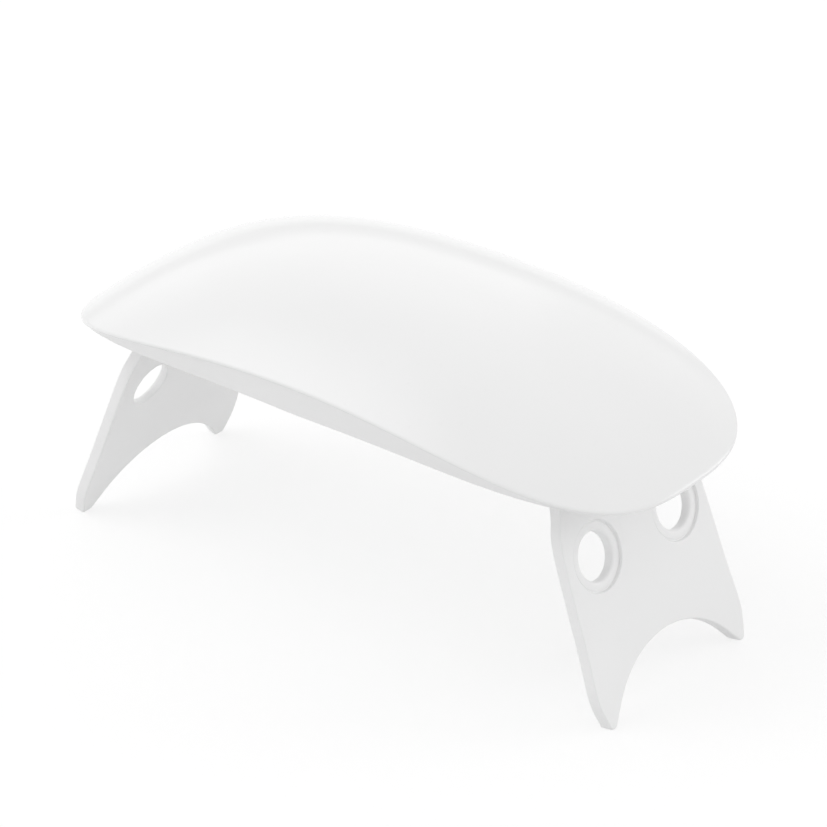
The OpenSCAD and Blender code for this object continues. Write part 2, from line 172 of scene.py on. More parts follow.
def spline(points, steps=10):
    """A smooth line through a few points."""
    p = [np.array(q, float) for q in points]
    out = []
    for i in range(len(p) - 1):
        a, b, c, d = p[max(i - 1, 0)], p[i], p[i + 1], p[min(i + 2, len(p) - 1)]
        for t in np.arange(steps) / steps:
            out.append(0.5 * (2 * b + (c - a) * t + (2 * a - 5 * b + 4 * c - d) * t * t
                              + (3 * b - a - 3 * c + d) * t ** 3))
    return out + [p[-1]]


def circle(r, n=64, centre=(0, 0)):
    a = np.linspace(0, 2 * math.pi, n, endpoint=False)
    return np.column_stack([centre[0] + r * np.cos(a), centre[1] + r * np.sin(a)])


def oblong(w, h, r, n=64):
    """Outline of a rounded oblong, in even steps."""
    out = []
    for sx, sy, start in ((1, 1, 0), (-1, 1, 90), (-1, -1, 180), (1, -1, 270)):
        for a in np.radians(np.linspace(start, start + 90, 16)):
            out.append((sx * (w / 2 - r) + r * math.cos(a), sy * (h / 2 - r) + r * math.sin(a)))
    return resample(np.array(out), n)


def plan_outline(n=320):
    """The body seen from above, in even steps along a very fine line."""
    t = np.linspace(0, 2 * math.pi, 20001)[:-1]
    x = HALF_L * np.sign(np.cos(t)) * np.abs(np.cos(t)) ** (2 / PLAN_P)
    y = HALF_W * np.sign(np.sin(t)) * np.abs(np.sin(t)) ** (2 / PLAN_Q)
    return resample(np.column_stack([x, y]), n)


def walled(plan, wall):
    """The plan, scaled down by a wall's thickness on every side."""
    return plan * np.array([HALF_L - wall, HALF_W - wall]) / [HALF_L, HALF_W]


def level(points, z):
    """A closed line lifted to one height."""
    return np.column_stack([points, np.full(len(points), z)])


# Solids

# Points closer than this are one point, in a new solid and in a finished piece
WELD, CLEAN = 1e-4, 2e-4
NORMAL_WEIGHT = 80


def bands(count, n):
    """Faces between neighbours in a row of closed rings, each of n points."""
    return [(a + k, a + (k + 1) % n, a + n + (k + 1) % n, a + n + k)
            for a in range(0, (count - 1) * n, n) for k in range(n)]


def fan(first, n, tip):
    return [(first + k, first + (k + 1) % n, tip) for k in range(n)]


def new_object(name, verts, faces):
    mesh = bpy.data.meshes.new(name)
    mesh.from_pydata([tuple(float(c) for c in v) for v in verts], [], faces)
    bm = bmesh.new()
    bm.from_mesh(mesh)
    bmesh.ops.remove_doubles(bm, verts=bm.verts, dist=WELD)
    bmesh.ops.recalc_face_normals(bm, faces=bm.faces)
    bm.to_mesh(mesh)
    bm.free()
    obj = bpy.data.objects.new(name, mesh)
    bpy.context.scene.collection.objects.link(obj)
    return obj


def loft(name, rings, start=None, end=None):
    """A skin over closed rings. Its ends close to a point, or flat where none is given."""
    n = len(rings[0])
    verts = [tuple(p) for ring in rings for p in ring]
    faces = bands(len(rings), n)
    for centre, first in ((start, 0), (end, (len(rings) - 1) * n)):
        if centre is None:
            faces.append(tuple(range(first, first + n)))
        else:
            verts.append(tuple(centre))
            faces += fan(first, n, len(verts) - 1)
    return new_object(name, verts, faces)


def lathe(name, profile, steps=64, start=None, end=None):
    """Turned about Z from (radius, height) pairs, with the ends of a loft."""
    return loft(name, [level(circle(r, steps), z) for r, z in profile], start, end)


def block(name, low, high, softest=0.12):
    """A box with softened edges."""
    low, high = np.array(low, float), np.array(high, float)
    size, r = high - low, min(softest, float((high - low).min()) / 5)
    ring = oblong(size[0], size[1], 2 * r, 48) + (low[:2] + high[:2]) / 2
    inner, eased = grown(ring, -r), grown(ring, -0.3 * r)
    rows = [(inner, low[2]), (eased, low[2] + 0.3 * r), (ring, low[2] + r),
            (ring, high[2] - r), (eased, high[2] - 0.3 * r), (inner, high[2])]
    return loft(name, [level(p, z) for p, z in rows])


def moved(obj, matrix):
    obj.data.transform(matrix)
    obj.data.update()
    return obj


def combine(target, tools, operation):
    """One boolean operation for each tool, which is used up."""
    for tool in tools if isinstance(tools, list) else [tools]:
        step = target.modifiers.new("combine", "BOOLEAN")
        step.operation, step.solver, step.object = operation, "EXACT", tool
        dg = bpy.context.evaluated_depsgraph_get()
        mesh = bpy.data.meshes.new_from_object(target.evaluated_get(dg))
        target.modifiers.clear()
        old, target.data = target.data, mesh
        bpy.data.meshes.remove(old)
        bpy.data.meshes.remove(tool.data)
    return target


def finish_piece(obj, body, material, nodes=(), angle=32):
    """Cleans a piece, brings it to metres, shades it, and lets it ride on its body."""
    bm = bmesh.new()
    bm.from_mesh(obj.data)
    bmesh.ops.remove_doubles(bm, verts=bm.verts, dist=CLEAN)
    bmesh.ops.dissolve_degenerate(bm, dist=CLEAN, edges=bm.edges)
    bmesh.ops.holes_fill(bm, edges=[e for e in bm.edges if e.is_boundary], sides=4)
    bmesh.ops.scale(bm, vec=(MM, MM, MM), verts=bm.verts)
    bm.to_mesh(obj.data)
    bm.free()
    obj.data.polygons.foreach_set("use_smooth", [True] * len(obj.data.polygons))
    obj.data.set_sharp_from_angle(angle=math.radians(angle))
    obj.data.materials.clear()
    obj.data.materials.append(material)
    weighted = obj.modifiers.new("weighted normals", "WEIGHTED_NORMAL")
    weighted.keep_sharp = True
    weighted.weight = NORMAL_WEIGHT
    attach(obj, body)
    if nodes:
        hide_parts(*nodes)
    return obj


# Materials. Their patterns are set by the place on the piece, in metres.


def node(tree, kind, inputs=(), **settings):
    made = tree.nodes.new(kind)
    for key, value in settings.items():
        setattr(made, key, value)
    for key, value in dict(inputs).items():
        if isinstance(value, bpy.types.NodeSocket):
            tree.links.new(value, made.inputs[key])
        else:
            made.inputs[key].default_value = value
    return made


def noise(tree, place, scale, detail=2.0, rough=0.5):
    return node(tree, "ShaderNodeTexNoise", {"Vector": place, "Scale": scale, "Detail": detail,
                                             "Roughness": rough}).outputs["Fac"]


def spread(tree, value, low, high, from_low=0.3, from_high=0.7):
    """Stretches a pattern's usual range to low ... high."""
    return node(tree, "ShaderNodeMapRange", {
        "Value": value, "From Min": from_low, "From Max": from_high,
        "To Min": low, "To Max": high}).outputs["Result"]


def mixed(tree, factor, a, b):
    made = node(tree, "ShaderNodeMix", data_type="RGBA")
    for key, value in (("Factor", factor), ("A", a), ("B", b)):
        socket = [s for s in made.inputs if s.name == key and s.enabled][0]
        if isinstance(value, bpy.types.NodeSocket):
            tree.links.new(value, socket)
        else:
            socket.default_value = value if key == "Factor" else (*value, 1)
    return [s for s in made.outputs if s.enabled][0]


def bump(tree, height, distance, normal=None):
    inputs = {"Height": height, "Distance": distance, "Strength": 1.0}
    if normal is not None:
        inputs["Normal"] = normal
    return node(tree, "ShaderNodeBump", inputs).outputs["Normal"]


def dimmed(colour, factor):
    return tuple(c * factor for c in colour)


def new_material(name):
    made = bpy.data.materials.new(name)
    made.use_nodes = True
    tree = made.node_tree
    tree.nodes.clear()
    out = node(tree, "ShaderNodeOutputMaterial")
    shader = node(tree, "ShaderNodeBsdfPrincipled")
    tree.links.new(shader.outputs["BSDF"], out.inputs["Surface"])
    place = node(tree, "ShaderNodeTexCoord").outputs["Object"]
    return made, tree, shader, place


def dress(tree, shader, colour, rough, normal):
    """Links the three patterns that every material here has."""
    tree.links.new(colour, shader.inputs["Base Color"])
    tree.links.new(rough, shader.inputs["Roughness"])
    tree.links.new(normal, shader.inputs["Normal"])


def plastic(name, colour, rough, grain_scale, grain_depth, ripple_depth=0.0, ripple_scale=70.0):
    """Moulded plastic: faint clouding, specks, a fine grain and a slow ripple."""
    made, tree, shader, place = new_material(name)
    cloud = spread(tree, noise(tree, place, 38, 3), 0, 1)
    speck = spread(tree, noise(tree, place, 900, 1), 0, 0.5, 0.68, 0.78)
    base = mixed(tree, cloud, dimmed(colour, 0.988), colour)
    base = mixed(tree, speck, base, dimmed(colour, 0.97))
    uneven = spread(tree, noise(tree, place, 260, 4, 0.6), rough * 0.88, rough * 1.14)
    normal = bump(tree, noise(tree, place, grain_scale, 2), grain_depth)
    if ripple_depth:
        normal = bump(tree, noise(tree, place, ripple_scale, 1), ripple_depth, normal)
    dress(tree, shader, base, uneven, normal)
    shader.inputs["IOR"].default_value = 1.5
    return made


def metal(name, colour, rough, along=(1, 1, 1), scale=900, depth=6e-6):
    """Metal with drawn or brushed streaks along one direction, and faint tarnish."""
    made, tree, shader, place = new_material(name)
    drawn = node(tree, "ShaderNodeMapping", {"Vector": place, "Scale": along}).outputs["Vector"]
    streak = noise(tree, drawn, scale, 3)
    stain = spread(tree, noise(tree, place, 160, 3), 0, 1)
    dress(tree, shader, mixed(tree, stain, dimmed(colour, 0.86), colour),
          spread(tree, streak, rough * 0.75, rough * 1.35), bump(tree, streak, depth))
    shader.inputs["Metallic"].default_value = 1.0
    return made


def laminate(name):
    """Circuit board: pale solder mask over copper tracks."""
    made, tree, shader, place = new_material(name)
    tracks = node(tree, "ShaderNodeTexBrick", {
        "Vector": place, "Scale": 260.0, "Mortar Size": 0.09, "Mortar Smooth": 0.4,
        "Color1": (0, 0, 0, 1), "Color2": (0, 0, 0, 1), "Mortar": (1, 1, 1, 1)}).outputs["Color"]
    lines = node(tree, "ShaderNodeSeparateColor", {"Color": tracks}).outputs["Red"]
    weave = noise(tree, place, 2400, 2)
    base = mixed(tree, spread(tree, weave, 0, 1), (0.70, 0.74, 0.68), (0.76, 0.79, 0.73))
    base = mixed(tree, spread(tree, lines, 0, 0.5, 0, 1), base, (0.60, 0.66, 0.56))
    dress(tree, shader, base, spread(tree, weave, 0.3, 0.45),
          bump(tree, lines, 3e-5, bump(tree, weave, 4e-6)))
    return made


def clear(name):
    """Clear moulded lens: polished, with faint flow lines."""
    made, tree, shader, place = new_material(name)
    tint = spread(tree, noise(tree, place, 150, 2), 0, 1)
    dress(tree, shader, mixed(tree, tint, (0.93, 0.95, 0.97), (0.97, 0.98, 0.99)),
          spread(tree, noise(tree, place, 500, 2), 0.02, 0.06),
          bump(tree, noise(tree, place, 320, 1), 4e-6))
    shader.inputs["Transmission Weight"].default_value = 0.92
    shader.inputs["IOR"].default_value = 1.46
    return made


def resin(name, colour, other, rough, scale=1800.0, depth=1e-5):
    """Filled resin or rubber, with a granular surface."""
    made, tree, shader, place = new_material(name)
    grain = noise(tree, place, scale, 3)
    dress(tree, shader, mixed(tree, spread(tree, grain, 0, 1), colour, other),
          spread(tree, noise(tree, place, 420, 3), rough * 0.85, rough * 1.15),
          bump(tree, grain, depth))
    return made


SHELL = plastic("shell_plastic", (0.885, 0.885, 0.885), 0.16, 2600, 1e-7, 1.5e-6, 260.0)
HOUSING = plastic("housing_plastic", (0.89, 0.89, 0.89), 0.42, 6500, 1.6e-6, 6e-6)
LEG = plastic("leg_plastic", (0.91, 0.91, 0.91), 0.38, 6500, 1.2e-6, 8e-6)
CAP = plastic("button_plastic", (0.86, 0.865, 0.87), 0.34, 6000, 2e-6)
WASHER = plastic("washer_nylon", (0.80, 0.79, 0.75), 0.5, 4000, 3e-6)
PIN = metal("pin_steel", (0.63, 0.64, 0.66), 0.26, along=(1, 0.06, 1))
SOCKET = metal("socket_metal", (0.72, 0.73, 0.74), 0.22, along=(1, 0.05, 1))
SCREW_STEEL = metal("screw_steel", (0.66, 0.66, 0.67), 0.24)
CAN = metal("capacitor_can", (0.74, 0.75, 0.76), 0.3, along=(1, 1, 0.05))
LAMINATE = laminate("board_laminate")
LENS = clear("lens_clear")
PHOSPHOR = resin("emitter_resin", (0.80, 0.66, 0.22), (0.86, 0.75, 0.34), 0.45)
CHIP = resin("chip_plastic", (0.030, 0.030, 0.032), (0.045, 0.045, 0.048), 0.5)
FERRITE = resin("choke_ferrite", (0.075, 0.072, 0.070), (0.11, 0.105, 0.10), 0.6)
WIRE = resin("wire_insulation", (0.46, 0.035, 0.030), (0.54, 0.05, 0.04), 0.42, 700.0)

# Crown

# Its upper face is laid in rings up to this share of the plan. Then comes the rolled edge,
# which starts this far in and ends this far down, and that far in, on the side.
TOP_SHARE = 0.978
EDGE_R, EDGE_DROP, EDGE_IN = 0.5, 0.36, 0.03
# Turned-down edge: inset from the plan, and lift over its lowest line
SKIRT = [(0.13, 0.1), (0.15, 0.05), (0.2, 0.012), (0.26, 0), (1.7, 0), (1.86, 0.03), (1.97, 0.14)]
# Screw bosses inside: their start over the rim, how far they stay under the crown's upper
# face, and radius and height of their rounded foot and of the screw's pilot hole
BOSS_H, BOSS_UNDER = 2.7, 1
BOSS_FOOT = [(2.1, 0), (2.24, 0.06), (2.3, 0.2)]
PILOT = [(1.0, 0), (1.0, 5.3), (0.6, 5.5)]


def crown():
    """A shell whose rings run out over the top, round the edge, and back along the inside."""
    q = plan_outline()
    n = outward(q)

    def top(p):
        return np.column_stack([p, crown_z(p[:, 0], p[:, 1])])

    def skirt(inset, lift):
        p = q - n * inset
        return np.column_stack([p, crease_z(p[:, 0]) - SKIRT_H + lift])

    rings = [top(q * s * TOP_SHARE) for s in np.sin(np.linspace(0, math.pi / 2, 40))[1:]]
    upper = top(q - n * EDGE_R)
    corner = np.column_stack([q, crease_z(q[:, 0])])
    side = np.column_stack([q - n * EDGE_IN, crease_z(q[:, 0]) - EDGE_DROP])
    rings.append(upper)
    rings += [bend(upper, corner, side, t) for t in (0.2, 0.4, 0.6, 0.8, 1.0)]
    rings += [skirt(*row) for row in SKIRT]
    for s in np.sin(np.linspace(math.pi / 2, 0, 22))[:-1]:
        p = walled(q, SHELL_WALL) * s
        rings.append(np.column_stack([p, inner_z(p[:, 0], p[:, 1])]))
    shell = loft("crown_moulding", rings, (0, 0, CREASE_MID + CROWN_RISE),
                 (0, 0, float(inner_z(0, 0))))
    base = float(rim_z(SCREW_X))
    bosses, pilots = [], []
    for place in SCREWS:
        foot = [level(circle(r, 40, place), base + BOSS_H + h) for r, h in BOSS_FOOT]
        p = circle(BOSS_FOOT[-1][0], 40, place)
        head = np.column_stack([p, crown_z(p[:, 0], p[:, 1]) - BOSS_UNDER])
        bosses.append(loft("boss", foot + [head]))
        pilots.append(moved(lathe("pilot", [(r, base + h) for r, h in PILOT], 32),
                            Matrix.Translation((*place, 0))))
    combine(shell, bosses, "UNION")
    combine(shell, pilots, "DIFFERENCE")
    return finish_piece(shell, "housing", SHELL, ["top_shell"])


# Housing

# The flank draws in between these two X, to the thin wedge that it is at the ends
END_FROM, END_TO = 58.0, 64.5
# Insets of its lower and upper line: in X at the ends, in Y amid, in Y at the ends
FLANK_LOW, FLANK_HIGH = (2.4, 1.4, 2.4), (2.22, 0.35, 2.22)
# Its lower edge's rounding, at most this share of its height, which has a least value, and
# the seam over it
FLANK_R, FLANK_R_SHARE, LEAST_TALL, SEAM = 0.65, 0.42, 0.05, 0.05
# The wedge's own height, and a factor that keeps the rim at mid length where the solid's is
LEAST_FLANK, RIM_FACTOR = 0.12, 0.9998
# Lip inside the crown's skirt: insets of its faces, its foot over the seam, its top under
# the crease, and how far the plate inside stays under the crease
LIP_OUT, LIP_IN, LIP_FOOT, LIP_TOP, PLATE_TOP = 2.25, 3.4, 0.03, 0.12, 0.16


def housing_base():
    """Underside, flank, the lip inside the crown, and the plate's inner face, still uncut."""
    q = plan_outline()
    end = smoothstep(END_FROM, END_TO, np.abs(q[:, 0]))

    def inset(dx, dy_mid, dy_end):
        p = q.copy()
        p[:, 0] *= (HALF_L - dx * end) / HALF_L
        p[:, 1] *= (HALF_W - dy_mid - (dy_end - dy_mid) * end) / HALF_W
        return p

    def low_z(x):
        """The rim, but never quite as high as the crown's skirt."""
        height = np.sqrt(flank_height(x) ** 2 + LEAST_FLANK ** 2) * RIM_FACTOR
        return crease_z(x) - SKIRT_H - height

    def inside_z(x):
        return np.minimum(rim_z(x) + PLATE_T, crease_z(x) - PLATE_TOP)

    def lip(wall, drop):
        p = walled(q, wall)
        return np.column_stack([p, crease_z(p[:, 0]) - drop])

    low, high = inset(*FLANK_LOW), inset(*FLANK_HIGH)
    high_z = crease_z(high[:, 0]) - SKIRT_H - SEAM
    tall = np.maximum(high_z - low_z(low[:, 0]), LEAST_TALL)
    r = np.minimum(FLANK_R, FLANK_R_SHARE * tall)[:, None]
    low_in = low - outward(low) * r
    rings = []
    for s in np.linspace(0, 1, 26)[1:]:
        p = low_in * s
        rings.append(np.column_stack([p, low_z(p[:, 0])]))
    under = rings[-1]
    corner = np.column_stack([low, low_z(low[:, 0])])
    top = np.column_stack([high, high_z])
    side = corner + (top - corner) * r / tall[:, None]
    rings += [bend(under, corner, side, t) for t in (0.17, 0.34, 0.5, 0.66, 0.83, 1.0)]
    rings += [side + (top - side) * t for t in (0.2, 0.4, 0.6, 0.8, 1.0)]
    rings += [lip(LIP_OUT, SKIRT_H + LIP_FOOT), lip(LIP_OUT, LIP_TOP), lip(LIP_IN, LIP_TOP)]
    for s in np.linspace(1, 0, 20)[:-1]:
        p = walled(q, LIP_IN) * s
        rings.append(np.column_stack([p, inside_z(p[:, 0])]))
    return loft("lower_moulding", rings, (0, 0, float(low_z(0.0))), (0, 0, float(inside_z(0.0))))


def recess_outline(g, n=260):
    """Outline of the recess, grown by g: the folded leg's sides with some play."""
    curve = spline([(HINGE_X - v, u + LEG_PLAY) for u, v in LEG_SIDE] + [(0.0, RECESS_MID_W)])
    corner = rounded_corner((RECESS_END, 0), (RECESS_END, RECESS_HINGE_W),
                            (HINGE_X - LEG_SIDE[0][1], RECESS_HINGE_W), RECESS_CORNER_R)
    quarter = np.array(corner + curve[:-1])
    rear = np.vstack([quarter, [[0.0, RECESS_MID_W]], quarter[::-1] * [-1, 1]])
    return grown(resample(np.vstack([rear, rear[::-1] * [1, -1]]), n), g)


def recess_top(x, g):
    """Height of its roof, grown by g: it follows the rim, and slopes down past the hinge."""
    xs = np.abs(x)
    over = np.interp(xs, [HINGE_X, RECESS_KNEE_X + g / 2, RECESS_END + g],
                     [float(roof_z(HINGE_X)) + g, HINGE_Z + RECESS_KNEE_H + g,
                      HINGE_Z + RECESS_END_H + g])
    return np.where(xs <= HINGE_X, roof_z(x) + g, over)


def recess_cutter(flare=0.5, fillet=0.5, wider=0.9, lower=6):
    """The recess with a flared mouth and a rounded corner under its roof.

    It starts wider than its mouth, and lower, so that it cuts the whole flare.
    """
    edge = recess_outline(0)

    def row(g, z):
        p = grown(edge, g)
        return np.column_stack([p, z(p[:, 0])])

    rings = [row(flare + wider, lambda x: rim_z(x) - lower)]
    for t in np.radians([20, 35, 50, 65, 80, 90]):
        rings.append(row(flare * (1 - math.sin(t)),
                         lambda x, t=t: rim_z(x) + flare * (1 - math.cos(t))))
    for t in np.radians([0, 22.5, 45, 67.5, 90]):
        rings.append(row(-fillet * (1 - math.cos(t)),
                         lambda x, t=t: recess_top(x, 0) - fillet + fillet * math.sin(t)))
    inner = grown(edge, -fillet)
    for s in np.linspace(1, 0, 16)[1:-1]:
        p = inner * s
        rings.append(np.column_stack([p, recess_top(p[:, 0], 0)]))
    return loft("recess", rings, None, (0, 0, float(recess_top(0.0, 0))))


def recess_ribs(wall=1.3, soft=0.4, foot=0.6, under_crown=2.4):
    """Walls and roof over the recess, inside the body, with a rounded upper edge."""
    edge = recess_outline(wall)

    def top(p):
        return np.minimum(recess_top(p[:, 0], RECESS_ROOF),
                          crown_z(p[:, 0], p[:, 1]) - under_crown)

    rings = [np.column_stack([edge * s, rim_z(edge[:, 0] * s) + foot])
             for s in np.linspace(0, 1, 16)[1:]]
    for t in np.radians([0, 30, 60, 90]):
        p = grown(edge, -soft * (1 - math.cos(t)))
        z = np.maximum(top(p) - soft + soft * math.sin(t), rim_z(p[:, 0]) + foot + 0.1)
        rings.append(np.column_stack([p, z]))
    inner = grown(edge, -soft)
    for s in np.linspace(1, 0, 16)[1:-1]:
        rings.append(np.column_stack([inner * s, top(inner * s)]))
    return loft("ribs", rings, (0, 0, float(rim_z(0.0)) + foot),
                (0, 0, float(recess_top(0.0, RECESS_ROOF))))


def lamp_frame(column, y=0.0):
    """On the upper face of the recess roof, square to it. Columns are -1, 0 and 1."""
    slope = math.atan(float(roof_z(LAMP_X - 0.5) - roof_z(LAMP_X + 0.5)))
    z = float(roof_z(column * LAMP_X)) + RECESS_ROOF
    place = Matrix.Translation((column * LAMP_X, y, z))
    return place @ Matrix.Rotation(column * slope, 4, "Y")


# Openings in the rear flank: Y and growth along the cutter, which softens their mouth, and
# the lean that it takes on from FLANK_Y, because the flank leans. Width, height, radius.
MOUTH = [(25.0, 0), (31.6, 0), (32.8, 0), (32.95, 0.06), (33.08, 0.17), (33.22, 0.35), (38, 0.65)]
FLANK_Y, FLANK_LEAN = 31, 0.18
INLET_OPENING, BUTTON_OPENING = (8.0, 3.1, 0.6), (8.2, 3.4, 1.7)


def rear_cutter(name, outline, centre):
    rows = []
    for y, g in MOUTH:
        p = grown(outline, g)
        lean = (FLANK_LEAN if y > FLANK_Y else 0) * p[:, 1]
        rows.append(np.column_stack([centre[0] + p[:, 0], y + lean, centre[1] + p[:, 1]]))
    return loft(name, rows)


def cross_bar(r, y0, y1, x, soft):
    """A round bar on the hinge line, with softened ends."""
    profile = [(r - soft, y0), (r - 0.3 * soft, y0 + 0.3 * soft), (r, y0 + soft),
               (r, y1 - soft), (r - 0.3 * soft, y1 - 0.3 * soft), (r - soft, y1)]
    bar = lathe("bar", profile, 48)
    return moved(bar, Matrix.Translation((x, 0, HINGE_Z)) @ Matrix.Rotation(-math.pi / 2, 4, "X"))


def bars_both_sides(r, span, x, soft):
    near, far = span
    return [cross_bar(r, near, far, x, soft), cross_bar(r, -far, -near, x, soft)]


# Radius and height of the turned details, each measured from its own base
COLUMN = [(3, 0.6), (3, 2.5), (2.94, 2.64), (2.8, 2.7)]
SEAT = [(2.6, -4), (2.5, -0.12), (2.28, 0.06), (2.14, 0.3), (2.1, 0.5), (2.1, 1.4), (1.2, 1.4),
        (1.2, 8)]
STANDOFF, STANDOFF_Y = [(1.6, -0.7), (1.6, 0.8), (1.5, 0.9)], 3.6
BOARD_BORE = [(0.75, -0.8), (0.75, 3.2)]
WINDOW = [(4.75, -6), (4.75, -1.52), (4.45, -1.42), (4.28, -1.28), (4.2, -1.1), (4.2, -0.8),
          (5.1, -0.8), (5.1, 6)]
# Posts that hold the control board, and the slot cut through them
POST_X, POST_W, POST_Y, POST_Z = 18.0, 2.4, (25.3, 28.3), (49.0, 54.0)
SLOT = ((-18.05, 26.25, 50.6), (18.05, 27.35, 55.7))
# Hinge ears, which start a hair behind the recess wall, so that they share no face with it,
# and the pin's bores in them
EAR_R, EAR_Y, EAR_SOFT = 2.6, (18.83, 22.8), 0.35
PIN_Y, PIN_SOFT = (17.86, 22.0), 0.05


def housing():
    body = housing_base()
    combine(body, recess_ribs(), "UNION")
    screws = [Matrix.Translation((x, y, float(rim_z(SCREW_X)))) for x, y in SCREWS]
    combine(body, [moved(lathe("column", COLUMN, 40), at) for at in screws], "UNION")
    posts = [block("post", (x - POST_W / 2, POST_Y[0], POST_Z[0]),
                   (x + POST_W / 2, POST_Y[1], POST_Z[1])) for x in (-POST_X, POST_X)]
    combine(body, posts, "UNION")
    combine(body, block("slot", *SLOT), "DIFFERENCE")
    boards = [lamp_frame(column) @ Matrix.Translation((0, s * STANDOFF_Y, 0))
              for column in (-1, 0, 1) for s in (-1, 1)]
    combine(body, [moved(lathe("standoff", STANDOFF, 32), at) for at in boards], "UNION")
    combine(body, recess_cutter(), "DIFFERENCE")
    ears, pins = [], []
    for x in (-HINGE_X, HINGE_X):
        ears += bars_both_sides(EAR_R, EAR_Y, x, EAR_SOFT)
        pins += bars_both_sides(PIN_BORE, PIN_Y, x, PIN_SOFT)
    combine(body, ears, "UNION")
    bores = [moved(lathe("bore", BOARD_BORE, 24), at) for at in boards]
    windows = [moved(lathe("window", WINDOW, 72), lamp_frame(*lamp)) for lamp in LAMPS]
    seats = [moved(lathe("seat", SEAT, 48), at) for at in screws]
    openings = [rear_cutter("inlet_opening", oblong(*INLET_OPENING), USB),
                rear_cutter("button_opening", oblong(*BUTTON_OPENING), BUTTON)]
    combine(body, pins + bores + windows + seats + openings, "DIFFERENCE")
    return finish_piece(body, "housing", HOUSING, ["lower_housing"])


# Legs. U runs across a leg, V down it, and W through it, all from the hinge line.

# Rounding of their edges, and steps round their holes
LEG_SOFT, ROUND = 0.35, 72
# From the sunk ring round a hole to the hole's far edge: radius, and W
HOLE_PROFILE = [(7.12, 0.5), (7.03, 0.515), (6.95, 0.57), (6.89, 0.67), (6.85, 0.82),
                (6.83, 0.97), (6.79, 1.07), (6.72, 1.12), (6.62, 1.13), (6.52, 1.11),
                (6.44, 1.06), (6.36, 1.01), (6.26, 1.0), (5.5, 1.0), (5.2, 1.03), (4.97, 1.12),
                (4.8, 1.27), (4.7, 1.47), (4.66, 1.72), (4.65, 2.62), (4.69, 2.8), (4.8, 2.93),
                (5.0, 3.0)]
# Barrel on the hinge line, the pin's bore in it, and the room below the table
BARREL_R, BARREL_Y, BARREL_SOFT = 2.3, 18.1, 0.35
BORE_Y, BORE_SOFT = 19, 0.1
UNDER_TABLE = ((40, -40, -9), (90, 40, 0))


def leg_outline(n=420):
    """One face of a leg, which reaches past the table here and is cut there later."""
    reach = (HINGE_Z - LEG_MID * math.sin(SPLAY)) / math.cos(SPLAY) + PAST_TABLE
    corner = rounded_corner((0, NECK_V), (LEG_SIDE[0][0], NECK_V), LEG_SIDE[0], NECK_R)
    side = spline(LEG_SIDE + [(TOE_U, reach - TOE_R)])
    toe = np.array([TOE_U - TOE_R, reach - TOE_R])
    tip = [toe + TOE_R * np.array([math.cos(a), math.sin(a)])
           for a in np.radians(np.arange(6, 90 + ARCH_SLOPE, 6))]
    arch = [np.array([ARCH_R * math.sin(a), reach - LEG_ARCH_H + ARCH_R * (1 - math.cos(a))])
            for a in np.radians(np.arange(ARCH_SLOPE, -0.5, -2))]
    half = np.array(corner + side + tip + arch)
    return resample(np.vstack([half, half[::-1][1:] * [-1, 1]]), n)


def planar(outer, holes, w):
    """Flat face between an outline and round holes, as points and triangles."""
    points, edges = [], []
    for loop in [outer] + [circle(r, ROUND, c) for c, r in holes]:
        first = len(points)
        points += [Vector((float(p[0]), float(p[1]))) for p in loop]
        edges += [(first + k, first + (k + 1) % len(loop)) for k in range(len(loop))]
    places, _, triangles, *_ = delaunay_2d_cdt(points, edges, [], 1, 1e-6)
    faces = []
    for face in triangles:
        mid = sum((places[i] for i in face), Vector((0, 0))) / len(face)
        if all((mid - Vector(c)).length > r * 0.998 for c, r in holes):
            faces.append(tuple(face))
    return [(p.x, p.y, w) for p in places], faces


def leg_plate():
    verts, faces = [], []

    def add(new_verts, new_faces):
        first = len(verts)
        verts.extend(new_verts)
        faces.extend(tuple(first + i for i in face) for face in new_faces)

    def strip(rings):
        add([tuple(p) for ring in rings for p in ring], bands(len(rings), len(rings[0])))

    edge = leg_outline()
    rim = grown(edge, -LEG_SOFT)
    holes = [(-LEG_HOLE[0], LEG_HOLE[1]), LEG_HOLE]
    add(*planar(rim, [(c, RING_R) for c in holes], LEG_OUT))
    add(*planar(rim, [(c, HOLE_R) for c in holes], LEG_IN))
    turn = np.radians(np.linspace(0, 90, 7))[1:]
    rows = [(LEG_SOFT * (1 - math.sin(t)), LEG_SOFT * (1 - math.cos(t))) for t in turn]
    rings = [level(grown(edge, -g), LEG_OUT + w) for g, w in rows]
    rings += [level(grown(edge, -g), LEG_IN - w) for g, w in rows[::-1]]
    strip([level(rim, LEG_OUT)] + rings + [level(rim, LEG_IN)])
    for c in holes:
        strip([level(circle(r, ROUND, c), w) for r, w in HOLE_PROFILE])
    return new_object("leg", verts, faces)


def leg(name, turned, body, nodes):
    plate = leg_plate()
    c, s = math.cos(SPLAY), math.sin(SPLAY)
    moved(plate, Matrix(((0, s, -c, HINGE_X), (1, 0, 0, 0), (0, -c, -s, HINGE_Z), (0, 0, 0, 1))))
    combine(plate, cross_bar(BARREL_R, -BARREL_Y, BARREL_Y, HINGE_X, BARREL_SOFT), "UNION")
    combine(plate, cross_bar(PIN_BORE, -BORE_Y, BORE_Y, HINGE_X, BORE_SOFT), "DIFFERENCE")
    combine(plate, block("table", *UNDER_TABLE), "DIFFERENCE")
    if turned:
        moved(plate, Matrix.Rotation(math.pi, 4, "Z"))
    plate.name = name
    return finish_piece(plate, body, LEG, nodes)


# Lamps, button and inlet

# Radius and height of a lens under the recess roof's upper face, then its dome
LENS_RIM = [(4.6, 0.0), (4.85, -0.03), (4.97, -0.12), (5.0, -0.25), (5.0, -0.6), (4.95, -0.74),
            (4.8, -0.8), (4.2, -0.8), (4.12, -0.84), (4.1, -0.95), (4.1, -1.36)]
DOME_R, DOME_EDGE_R, DOME_TIP = 5.4, 4.0, -3.3


